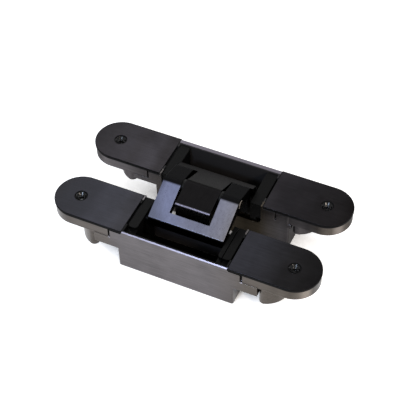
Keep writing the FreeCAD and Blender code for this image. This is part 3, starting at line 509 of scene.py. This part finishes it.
def seam_shadow_mask(tree, end):
    """1 in the seam under the cap at one end, where the cap's shadow is painted."""
    return inside(tree, [beyond("X", end * (CAP_INNER + SEAM_PLAY), end),
                         beyond("Z", FACE - CAP_THICKNESS - SEAM_DROP)])


print("made: rim_highlight_mask, pocket_shade_mask, seam_shadow_mask")

# %% Masks of the grooves and the gap
GROOVE_X = 40.0
GROOVE_HALF = 0.65
GROOVE_FOOT = 22.4
FOOT_HEIGHT = 0.8
WALL_CLEARANCE = 10.0
FRONT_WALL = beyond("Y", -MIDDLE - WALL_CLEARANCE, -1)
GAP_FADE = 0.2


def groove_shade_masks(tree, place):
    """1 in a groove of the front wall, painted black as shade, and 1 on its foot, where a
    highlight is painted.
    """
    slot = between("X", place - GROOVE_HALF, place + GROOVE_HALF) + [FRONT_WALL]
    groove = inside(tree, slot + [beyond("Z", GROOVE_FOOT)], softness=0.1)
    foot = inside(tree, slot + between("Z", GROOVE_FOOT - FOOT_HEIGHT, GROOVE_FOOT),
                  softness=0.15)
    return groove, foot


def gap_shade_mask(tree, side):
    """1 on the half that faces the gap, where shade is painted, fading out over the middle."""
    half = (MIDDLE - WALL_INNER) * MM
    from_gap = plane_distance(tree, (0, side * WALL_INNER, 0), (0, side, 0))
    return map_range(tree, from_gap, half * (1 - GAP_FADE), half * (1 + GAP_FADE),
                     1.0, 0.0, smooth=True)


print("made: groove_shade_masks, gap_shade_mask")

# %% Housing finish
# The colour of the painted highlight on the foot of each groove.
FOOT_HIGHLIGHT = srgb(150, 148, 156)
SHADE_ROUGHNESS = 0.5


def housing_metal(name, side, rim_highlights, shade_paint, stops, gap_shade_stops=None, glancing=1.0):
    """Brushed zinc of one housing with painted light and shade; rim highlights are (width in mm,
    colour), the widest first.
    """
    material, tree, shader, metal = brushed_metal(
        name, srgb(92, 89, 91), srgb(124, 120, 123), srgb(150, 146, 150),
        roughness=0.34, stretch=ALONG_X, fineness=150.0, bump=0.05)
    shader.inputs["Specular IOR Level"].default_value = 0.1
    keep_glancing(shader, glancing)
    # Painted light and shade along the casting.
    colour = painted_light_along_x(tree, metal, stops)
    # Painted shade on the half that faces the gap.
    if gap_shade_stops is not None:
        colour = blend(tree, gap_shade_mask(tree, side), colour, painted_light_along_x(tree, metal, gap_shade_stops))
    # Painted highlights on the rim.
    for width, rim_highlight_colour in rim_highlights:
        colour = blend(tree, rim_highlight_mask(tree, side, width), colour, rim_highlight_colour)
    widest_rim = rim_highlights[0][0]
    # Painted shade in the pocket, in the seams under the caps and in the grooves.
    black = pocket_shade_mask(tree, side, widest_rim)
    for end in (-1, 1):
        black = calculate(tree, "MAXIMUM", black, seam_shadow_mask(tree, end))
    # Painted shade in each groove and a painted highlight on its foot.
    for place in (-GROOVE_X, GROOVE_X):
        groove, foot = groove_shade_masks(tree, place)
        colour = blend(tree, foot, colour, FOOT_HIGHLIGHT)
        black = calculate(tree, "MAXIMUM", black, groove)
    paint_over(tree, shader, colour, black, shade_paint, SHADE_ROUGHNESS)
    return material


print("made: housing_metal")

# %% [markdown]
# The stops below follow the fall of light along each casting. The flat wall is lightest in its
# middle, and the round right end has one bright band. The rear casting has more stops for the
# half in the gap, which the front casting shades. Its metal is damped at glancing angles,
# because the walls in the gap are seen nearly edge-on.

# %% Front housing
FRONT_RIM_HIGHLIGHTS = [(0.65, srgb(136, 132, 144))]
FRONT_STOPS = [
    (-80, 0.1, 0), (-77, 0.15, 0), (-73.5, 0.4, 0.5), (-62, 0.52, 0.9), (-50, 0.54, 0.9),
    (-41, 0.62, 0.8), (-39, 0.64, 0.2), (-34, 0.69, 0), (0, 0.73, 0), (20, 0.69, 0),
    (34, 0.6, 0.4), (43, 0.53, 1.1), (51, 0.54, 1.1), (59, 0.45, 1.3), (63, 0.53, 1.3),
    (68, 0.41, 1.4), (70.3, 0.46, 1.3), (72.5, 0.65, 1.3), (74.6, 1.28, 1.3), (76.5, 1.32, 1.3),
    (78, 0.3, 1.4), (79.3, 0.18, 1.4), (80, 0.1, 1)]
# srgb(3, 3, 3) is the painted shade in the pocket, the seams and the grooves.
front_metal = housing_metal(
    "front_housing_finish", -1, FRONT_RIM_HIGHLIGHTS, srgb(3, 3, 3), FRONT_STOPS)
print("front housing:", len(FRONT_STOPS), "stops")

# %% Rear housing
REAR_RIM_HIGHLIGHTS = [(3.1, srgb(106, 102, 110)), (0.9, srgb(160, 157, 170))]
REAR_STOPS = [
    (-80, 0.5, 0), (-70, 0.9, 0), (-40, 1.0, 0), (40, 1.0, 0.5), (76, 0.8, 1), (80, 0.3, 1)]
GAP_SHADE_STOPS = [
    (-80, 0.12, 0), (-78, 0.15, 0), (-75.6, 0.25, 0.2), (-72.5, 0.36, 0.2), (-68.9, 0.78, 0.2),
    (-58, 0.71, 0), (-54, 0.69, 0), (-46, 0.53, 0), (-43, 0.48, 0), (12, 0.55, 2), (22, 0.27, 2),
    (30, 0.29, 2), (36, 0.44, 0.6), (43, 0.44, 0), (47, 0.33, 0), (51, 0.37, 0), (55, 0.4, 0),
    (59, 0.25, 0), (65, 0.25, 0.8), (70.1, 0.5, 1.1), (72.5, 0.5, 1.2), (74.6, 1.18, 1.1),
    (76.5, 1.28, 1), (78, 0.6, 1.1), (79.3, 0.4, 1.2), (80, 0.2, 1)]
# srgb(44, 43, 44) is the painted shade in the pocket, the seams and the grooves.
rear_metal = housing_metal(
    "rear_housing_finish", 1, REAR_RIM_HIGHLIGHTS, srgb(44, 43, 44), REAR_STOPS, GAP_SHADE_STOPS, glancing=0.5)
print("rear housing:", len(REAR_STOPS), "and", len(GAP_SHADE_STOPS), "stops")

# %% [markdown]
# ## Cover caps
# Plates with a charcoal plating, with light and shade painted along them: lighter, with a trace
# of blue, on the left and nearly black at the right end. Their thin side and the sunk screw
# holes are black. The distance to its axis
# marks a hole, and folding the coordinates with Absolute serves all four caps at once.

# %% Masks of the holes and the sides
HOLE_X = 64.8
HOLE_RADIUS = 3.78
HOLE_FADE_IN, HOLE_FADE_OUT = 0.1, 0.15
SIDE_DROP = 0.06


def hole_mask(tree):
    """1 in the sunk screw hole of each cap."""
    folded = vector_math(tree, "ABSOLUTE", object_place(tree))
    flat = vector_math(tree, "MULTIPLY", folded, (1, 1, 0))
    gap = vector_math(tree, "DISTANCE", flat, (HOLE_X * MM, MIDDLE * MM, 0))
    return map_range(tree, gap, (HOLE_RADIUS - HOLE_FADE_IN) * MM,
                     (HOLE_RADIUS + HOLE_FADE_OUT) * MM, 1.0, 0.0, smooth=True)


def side_mask(tree):
    """1 on the thin side of a cap, just under its face."""
    return inside(tree, [beyond("Z", FACE - SIDE_DROP, -1)])


print("made: hole_mask, side_mask")

# %% Caps
CAP_EDGE = srgb(27, 27, 29)
CAP_BLACK = srgb(4, 4, 5)
# Painted light and shade along the caps.
FRONT_CAP_LIGHT_STOPS = [
    (-80, 0.33, 0.3), (-77, 0.4, 0.3), (-72, 0.46, 0), (-58, 0.55, 0), (-52, 0.77, -0.1),
    (-46, 0.84, -0.1), (-41, 0.88, 0), (-36, 0.8, 0.3), (35, 0.82, 0), (40, 0.92, -0.1),
    (45, 0.85, 0), (50, 0.75, 0.2), (56, 0.6, 0.4), (60, 0.46, 0.7), (71, 0.33, 0.9),
    (78, 0.28, 0.8), (80, 0.2, 1)]
REAR_CAP_LIGHT_STOPS = [
    (-80, 0.35, 0.2), (-72, 0.5, 0.2), (-58, 0.78, 0), (-52, 0.8, 0.2), (-46, 0.97, 0),
    (-41, 1.05, 0), (-36, 0.78, 0.3), (35, 0.77, 0), (40, 0.66, 0), (45, 0.57, 0),
    (50, 0.57, 0.1), (56, 0.51, 0.1), (60, 0.41, 0.3), (71, 0.4, 0.4), (75, 0.33, 0.6),
    (80, 0.22, 0.8)]


def cap_finish(name, dark, light, stops):
    """The plating of the caps of one housing, with light and shade painted along it, and black
    sides and screw holes.
    """
    material, tree, shader, colour = brushed_metal(
        name, dark, light, CAP_EDGE, roughness=0.33, stretch=ALONG_X,
        fineness=190.0, bump=0.02, streaks=0.35, edge_radius=0.1, cloudiness=0.9)
    black = calculate(tree, "MAXIMUM", hole_mask(tree), side_mask(tree))
    paint_over(tree, shader, painted_light_along_x(tree, colour, stops), black, CAP_BLACK, roughness=0.6)
    shader.inputs["Specular IOR Level"].default_value = 0.06
    return material


front_cap = cap_finish(
    "charcoal_front_cover", srgb(43, 43, 47), srgb(54, 54, 60), FRONT_CAP_LIGHT_STOPS)
rear_cap = cap_finish(
    "charcoal_rear_cover", srgb(43, 41, 44), srgb(54, 52, 56), REAR_CAP_LIGHT_STOPS)
print("caps:", len(FRONT_CAP_LIGHT_STOPS), "and", len(REAR_CAP_LIGHT_STOPS), "stops")

# %% [markdown]
# ## Arms
# The fork's broad face turns towards the light, so it is painted bright, with a painted cold
# blue reflection, and the rest of that arm is painted dark as shade. The face is the slope from
# the ridge towards the front, so its own plane marks it, and a second plane cuts it off at the
# ridge. Its lower left corner is painted a little darker, as shade.

# %% Where the fork's face lies
FORK_SLOPE = math.radians(25.0)
RIDGE_SET = 1.2
UNDER_FACE, ON_FACE = -0.14 * MM, -0.05 * MM
BRIGHT_FROM = -3.5
CORNER = ((-17.5, -19, 0), (-0.8, -0.6, 0))


def on_slope(tree, side, slope):
    """1 on the face that slopes down from an arm's ridge towards one side."""
    direction = (0, side * math.sin(slope), math.cos(slope))
    distance = plane_distance(tree, (0, side * RIDGE_SET, RIDGE_Z / MM), direction)
    return map_range(tree, distance, UNDER_FACE, ON_FACE)


print("the fork's face slopes by", round(math.degrees(FORK_SLOPE)), "degrees")

# %% Fork
FORK_LIGHT_STOPS = [
    (-22.8, 0.9, -0.6), (-20, 1.34, -0.6), (-15, 1.27, -0.6), (-8, 1.2, -0.3), (0, 1.2, 0.2),
    (8, 1.2, 0.3), (18, 1.35, 0.9), (22.8, 1.3, 1.4)]
FORK_SHADE = srgb(20, 20, 21)
FORK_CORNER_SHADE = srgb(98, 103, 123)

fork_metal, tree, shader, colour = brushed_metal(
    "blue_grey_fork", srgb(94, 97, 116), srgb(112, 116, 138), srgb(136, 138, 156),
    roughness=0.3, stretch=ALONG_Y, fineness=130.0, bump=0.02)
# Painted light along the face, painted shade in its lower left corner and on the faces that turn
# away.
colour = painted_light_along_x(tree, colour, FORK_LIGHT_STOPS)
colour = blend(tree, inside(tree, [CORNER], softness=4.0), colour, FORK_CORNER_SHADE)
in_front = inside(tree, [beyond("Y", BRIGHT_FROM, -1)], softness=0.5)
lit_face = calculate(tree, "MULTIPLY", on_slope(tree, -1, FORK_SLOPE), in_front)
link(tree, blend(tree, lit_face, FORK_SHADE, colour), shader.inputs["Base Color"])
keep_glancing(shader, 0.6)
print("fork:", len(FORK_LIGHT_STOPS), "stops")

# %% [markdown]
# The tongued arm is nearly black. Light is painted on its rear face, which is a little lighter
# towards the right, and a highlight is painted along the lip in front; the narrow face below the
# lip is bare metal. Planes mark these too, so no second material or cut in the mesh is needed.

# %% Tongued arm
TONGUE_LIP_Y = -13.9
TONGUE_LIP_Z = 37.1
LIP_WIDTH = 0.6
TONGUE_LIGHT_STOPS = [
    (-23, 0.1, 0), (-14, 0.3, 0), (-6, 0.6, 0.2), (4, 0.65, 0.2), (12, 0.85, 0.2),
    (23, 0.85, 0.2)]

tongue_metal, tree, shader, colour = brushed_metal(
    "dark_tongue", srgb(23, 22, 23), srgb(28, 27, 28), srgb(32, 32, 36),
    roughness=0.3, stretch=ALONG_Y, fineness=110.0, bump=0.02, edge_radius=0.5)
behind = inside(tree, [beyond("Y", RIDGE_SET)], softness=0.6)
lip_highlight = inside(tree, [beyond("Y", TONGUE_LIP_Y, -1), beyond("Z", TONGUE_LIP_Z)], softness=0.2)
below_lip = inside(tree, [beyond("Y", TONGUE_LIP_Y - LIP_WIDTH, -1),
                          beyond("Z", TONGUE_LIP_Z, -1)], softness=0.2)
# Painted light along the rear face.
colour = blend(tree, behind, colour, painted_light_along_x(tree, colour, TONGUE_LIGHT_STOPS))
# A painted highlight along the lip.
colour = blend(tree, lip_highlight, colour, srgb(120, 118, 134))
colour = blend(tree, below_lip, colour, srgb(92, 90, 90))
link(tree, colour, shader.inputs["Base Color"])
keep_glancing(shader, 0.62)
print("tongue:", len(TONGUE_LIGHT_STOPS), "stops")

# %% [markdown]
# ## Pins and bushes
# The centre pin is ground steel, and its end shows in the fork's side. The pins in the pockets
# are blackened, as they look between the guide blocks. The bushes are bronze and hardly show.
# All of them are the brushed recipe with other colours.

# %% Pins and bushes
pin_metal = brushed_metal(
    "ground_pin", srgb(96, 90, 82), srgb(130, 122, 112), srgb(190, 182, 170),
    roughness=0.25, stretch=ALONG_Y)[0]
dark_pin = brushed_metal(
    "blackened_pin", srgb(14, 14, 15), srgb(22, 22, 24), srgb(30, 30, 34),
    roughness=0.4, stretch=ALONG_X)[0]
bush_metal = brushed_metal(
    "bronze_bush", srgb(120, 92, 55), srgb(150, 118, 75), srgb(190, 160, 110),
    roughness=0.35, stretch=ALONG_X)[0]

# %% [markdown]
# ## Moulded plastic
# The guide blocks and washers are moulded plastic: black, with a fine even grain that lightens
# the colour and roughens the shine a little. Noise with no stretch gives that grain. The cap
# screws have a glossy black coat, which shines as plastic does, so they take the same recipe
# with a lower roughness.

# %% Moulded plastic
PLASTIC_GRAIN = 2600.0
PLASTIC_LIGHTER = 1.6
PLASTIC_SPREAD = 0.1
PLASTIC_RELIEF = 0.1 * MM


def moulded_plastic(name, colour, roughness, shine=0.1):
    """Moulded black plastic with a fine grain."""
    material, tree, shader = new_material(name)
    fine = noise(tree, object_place(tree), PLASTIC_GRAIN, detail=2.0)
    lighter = tuple(value * PLASTIC_LIGHTER for value in colour[:3]) + (1.0,)
    shade = map_range(tree, fine, NOISE_LOW, NOISE_HIGH)
    link(tree, blend(tree, shade, colour, lighter), shader.inputs["Base Color"])
    rough = map_range(tree, fine, NOISE_LOW, NOISE_HIGH,
                      roughness * (1 - PLASTIC_SPREAD), roughness * (1 + PLASTIC_SPREAD))
    link(tree, rough, shader.inputs["Roughness"])
    worn_and_lit_edges = add_node(tree, "ShaderNodeGroup", node_tree=edge_group)
    relief = add_node(tree, "ShaderNodeBump", Strength=0.15, Distance=PLASTIC_RELIEF)
    link(tree, fine, relief.inputs["Height"])
    link(tree, worn_and_lit_edges.outputs["Normal"], relief.inputs["Normal"])
    link(tree, relief.outputs[0], shader.inputs["Normal"])
    shader.inputs["Specular IOR Level"].default_value = shine
    print("plastic", name)
    return material


guide_plastic = moulded_plastic("black_guide", srgb(5, 5, 5), roughness=0.45, shine=0.06)
washer_plastic = moulded_plastic("black_washer", srgb(12, 12, 12), roughness=0.45)
screw_black = moulded_plastic("black_screw", srgb(1, 1, 2), roughness=0.09, shine=0.22)

# %% [markdown]
# ## Give each solid its finish
# The record names a material slot for every node, and most nodes take the finish of their slot.
# The housings, the caps and the pins in the pockets share a slot with pieces that look
# different, so they are named one by one. Only the material changes: the mesh stays as it is.

# %% Give each solid its finish
FINISHES = {
    "fork_metal": fork_metal,
    "tongue_metal": tongue_metal,
    "screw_steel": screw_black,
    "pin_steel": pin_metal,
    "bush_bronze": bush_metal,
    "guide_plastic": guide_plastic,
    "washer_plastic": washer_plastic,
}
OWN_FINISHES = {"front_housing": front_metal, "rear_housing": rear_metal,
                "front_cap_left": front_cap, "front_cap_right": front_cap,
                "rear_cap_left": rear_cap, "rear_cap_right": rear_cap,
                "front_slide_pin": dark_pin, "rear_slide_pin": dark_pin,
                "front_pivot_pin": dark_pin, "rear_pivot_pin": dark_pin}
slots = {entry["node"]: entry["material_slot"] for entry in frame["record"]["subparts"]}
for name, thing in nodes.items():
    finish = OWN_FINISHES.get(name) or FINISHES[slots[name]]
    thing.data.materials.clear()
    thing.data.materials.append(finish)
print("finished nodes:", len(nodes))

# %% [markdown]
# ## Cap screws
# Each cap is held by a small black countersunk screw with a dished head and a hexagon socket.
# Both screws of a housing are alike, so one screw is built in Geometry Nodes from a few named
# sizes and instanced at both holes. The socket and the dish are cut with Mesh Boolean. The list
# below gives the sizes in millimetres.

# %% Screw tree: its sizes
SCREW_SIZES = [("Place", 64.8), ("Across", 24.3), ("Top", 29.55), ("Head Radius", 3.2),
               ("Shank Radius", 1.95), ("Length", 6.2), ("Dish Radius", 3.1),
               ("Dish Depth", 1.6), ("Socket Radius", 1.5), ("Socket Depth", 2.7)]

screw_tree, screw_in, screw_out = new_group(
    "cap_screw_pair",
    [(label, FLOAT, size * MM) for label, size in SCREW_SIZES]
    + [("Finish", "NodeSocketMaterial", None)],
    [("Geometry", "NodeSocketGeometry")], kind="GeometryNodeTree")
sizes = screw_in.outputs
print("screw tree:", len(SCREW_SIZES), "sizes")

# %% Screw tree: turned shapes
def cone(tree, low, high, depth, sides=64):
    """A cone with its top at zero; radii and depth are sockets."""
    shape = add_node(tree, "GeometryNodeMeshCone", Vertices=sides)
    link(tree, low, shape.inputs["Radius Bottom"])
    link(tree, high, shape.inputs["Radius Top"])
    link(tree, depth, shape.inputs["Depth"])
    shift = tree.nodes.new("ShaderNodeCombineXYZ")
    link(tree, calculate(tree, "MULTIPLY", depth, -1.0), shift.inputs["Z"])
    mover = tree.nodes.new("GeometryNodeTransform")
    link(tree, shape.outputs["Mesh"], mover.inputs["Geometry"])
    link(tree, shift.outputs[0], mover.inputs["Translation"])
    return mover.outputs[0]


def boolean(tree, operation, base, tools):
    """Join the tools, or cut them from a base."""
    node = add_node(tree, "GeometryNodeMeshBoolean", operation=operation, solver="EXACT")
    if base is not None:
        link(tree, base, node.inputs["Mesh 1"])
    for tool in tools:
        link(tree, tool, node.inputs["Mesh 2"])
    return node.outputs["Mesh"]


print("made: cone, boolean")

# %% Screw tree: one screw
HEXAGON = 6

head_height = calculate(screw_tree, "SUBTRACT", sizes["Head Radius"], sizes["Shank Radius"])
head = cone(screw_tree, sizes["Shank Radius"], sizes["Head Radius"], head_height)
shank = cone(screw_tree, sizes["Shank Radius"], sizes["Shank Radius"], sizes["Length"])
dish = cone(screw_tree, sizes["Socket Radius"], sizes["Dish Radius"], sizes["Dish Depth"])
socket = cone(screw_tree, sizes["Socket Radius"], sizes["Socket Radius"], sizes["Socket Depth"],
              sides=HEXAGON)
whole = boolean(screw_tree, "UNION", None, [head, shank])
screw = boolean(screw_tree, "DIFFERENCE", whole, [dish, socket])
print("one screw:", len(screw_tree.nodes), "nodes")

# %% Screw tree: the pair
# A line between two end points has one point at each hole. Its Offset socket is the second end.
holes = add_node(screw_tree, "GeometryNodeMeshLine", mode="END_POINTS", Count=2)
for name, sign in (("Start Location", -1.0), ("Offset", 1.0)):
    spot = screw_tree.nodes.new("ShaderNodeCombineXYZ")
    link(screw_tree, calculate(screw_tree, "MULTIPLY", sizes["Place"], sign), spot.inputs["X"])
    link(screw_tree, sizes["Across"], spot.inputs["Y"])
    link(screw_tree, sizes["Top"], spot.inputs["Z"])
    link(screw_tree, spot.outputs[0], holes.inputs[name])
copies = screw_tree.nodes.new("GeometryNodeInstanceOnPoints")
link(screw_tree, holes.outputs["Mesh"], copies.inputs["Points"])
link(screw_tree, screw, copies.inputs["Instance"])
real = screw_tree.nodes.new("GeometryNodeRealizeInstances")
link(screw_tree, copies.outputs[0], real.inputs["Geometry"])
finish = screw_tree.nodes.new("GeometryNodeSetMaterial")
link(screw_tree, real.outputs[0], finish.inputs["Geometry"])
link(screw_tree, sizes["Finish"], finish.inputs["Material"])
link(screw_tree, finish.outputs[0], screw_out.inputs[0])
print("screw tree:", len(screw_tree.nodes), "nodes")

# %% [markdown]
# A modifier runs the tree on an empty mesh, with the places of one housing. Its result becomes
# a plain mesh, which rides on that housing and stands for the plain screws of the frame.

# %% Make the screws
def make_screws(name, node, across):
    """The two cap screws of one housing, as one plain mesh."""
    holder = bpy.data.objects.new(name, bpy.data.meshes.new(name))
    scene.collection.objects.link(holder)
    modifier = holder.modifiers.new("screws", "NODES")
    modifier.node_group = screw_tree
    keys = {item.name: item.identifier for item in screw_tree.interface.items_tree
            if item.in_out == "INPUT"}
    modifier[keys["Across"]] = across
    modifier[keys["Place"]] = HOLE_X * MM
    modifier[keys["Top"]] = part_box(node)[1].z
    modifier[keys["Finish"]] = screw_black
    made = holder.evaluated_get(bpy.context.evaluated_depsgraph_get())
    mesh = bpy.data.meshes.new_from_object(made)
    holder.modifiers.clear()
    holder.data = mesh
    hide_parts(node)
    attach(holder, node.split("_")[0])
    print(name, "triangles", sum(len(face.vertices) - 2 for face in mesh.polygons))


for place, side in (("front", -1), ("rear", 1)):
    make_screws(f"{place}_dished_screws", f"{place}_cap_screws", side * MIDDLE * MM)

# %% [markdown]
# ## Floor and world
# A pale floor under plain soft light. The floor and the world are white to the camera, to
# mirrors and to glass through Light Path, so the lamps stay at a plain level. The glow would
# also show as a white spot in each narrow chink between the housings, where a real floor is in
# shadow. So Ambient Occlusion takes the glow away where the hinge closes off the floor.

# %% Floor
FLOOR_REACH = 3.0
FLOOR_GLOW = 0.75
SHADOW_REACH = 60 * MM
SHADOW_FULL, SHADOW_NONE = 0.13, 0.28


def seen_directly(tree):
    """1 for the camera's rays and for those of mirrors and glass."""
    path = add_node(tree, "ShaderNodeLightPath").outputs
    seen = calculate(tree, "MAXIMUM", path["Is Camera Ray"], path["Is Glossy Ray"])
    return calculate(tree, "MAXIMUM", seen, path["Is Transmission Ray"])


floor_mesh = bpy.data.meshes.new("floor")
maker = bmesh.new()
bmesh.ops.create_grid(maker, x_segments=1, y_segments=1, size=FLOOR_REACH)
maker.to_mesh(floor_mesh)
maker.free()
floor = bpy.data.objects.new("floor", floor_mesh)
scene.collection.objects.link(floor)
print("floor reaches", FLOOR_REACH, "m")

# %% Floor finish
floor_material, floor_tree, floor_shader = new_material("pale_floor")
floor_shader.inputs["Base Color"].default_value = (0.86, 0.86, 0.86, 1)
floor_shader.inputs["Roughness"].default_value = 0.9
floor_shader.inputs["Specular IOR Level"].default_value = 0.0
floor_shader.inputs["Emission Color"].default_value = (1, 1, 1, 1)
shade = add_node(floor_tree, "ShaderNodeAmbientOcclusion", samples=8, Distance=SHADOW_REACH)
open_floor = map_range(floor_tree, shade.outputs["AO"], SHADOW_FULL, SHADOW_NONE, smooth=True)
glow = calculate(floor_tree, "MULTIPLY", seen_directly(floor_tree), FLOOR_GLOW)
glow = calculate(floor_tree, "MULTIPLY", glow, open_floor)
link(floor_tree, glow, floor_shader.inputs["Emission Strength"])
floor_mesh.materials.append(floor_material)
print("floor glow", FLOOR_GLOW)

# %% World
SKY_LIGHT = 0.36

world = bpy.data.worlds.new("studio")
scene.world = world
world.use_nodes = True
air = world.node_tree
air.nodes.clear()
sky = add_node(air, "ShaderNodeBackground", Color=(1, 1, 1, 1))
sky_out = air.nodes.new("ShaderNodeOutputWorld")
link(air, sky.outputs[0], sky_out.inputs[0])
sky_level = map_range(air, seen_directly(air), 0.0, 1.0, SKY_LIGHT, 1.0)
link(air, sky_level, sky.inputs["Strength"])
print("sky light", SKY_LIGHT)

# %% [markdown]
# ## Lamps
# Three soft boxes light the hinge, one above, one behind the left end and a weak one in front.
# Two small lamps, one warm and one cold, make the glints in the sunk screws. All of them are
# square area lamps that look at the hinge, so one function places them from a table.

# %% Lamps
# Name, direction, distance and size in metres, power in watts, colour.
LAMPS = [
    ("top_lamp", (0.36, 0.31, 0.88), 0.95, 0.5, 2.0, (1, 1, 1)),
    ("left_lamp", (-0.6, 0.5, 0.62), 0.9, 0.3, 1.6, (0.95, 0.97, 1.0)),
    ("front_lamp", (0.1, -0.75, 0.65), 0.95, 0.4, 0.6, (1, 1, 1)),
    ("warm_glint_lamp", (0.65, -0.415, 0.64), 0.9, 0.12, 2.6, (1.0, 0.86, 0.72)),
    ("cold_glint_lamp", (-0.11, -0.765, 0.64), 0.9, 0.12, 2.6, (0.62, 0.76, 1.0)),
]


def soft_lamp(name, direction, distance, size, power, colour):
    """A square area lamp at a distance in a direction, looking at the hinge."""
    data = bpy.data.lights.new(name, "AREA")
    data.shape = "SQUARE"
    data.size = size
    data.energy = power
    data.color = colour
    lamp = bpy.data.objects.new(name, data)
    scene.collection.objects.link(lamp)
    target = Vector((0, 0, FACE_Z))
    lamp.location = target + Vector(direction).normalized() * distance
    lamp.rotation_euler = (target - lamp.location).to_track_quat("-Z", "Y").to_euler()
    print("lamp", name, power, "W")


for lamp_values in LAMPS:
    soft_lamp(*lamp_values)

# %% [markdown]
# ## End

# %% End
print("scene built")
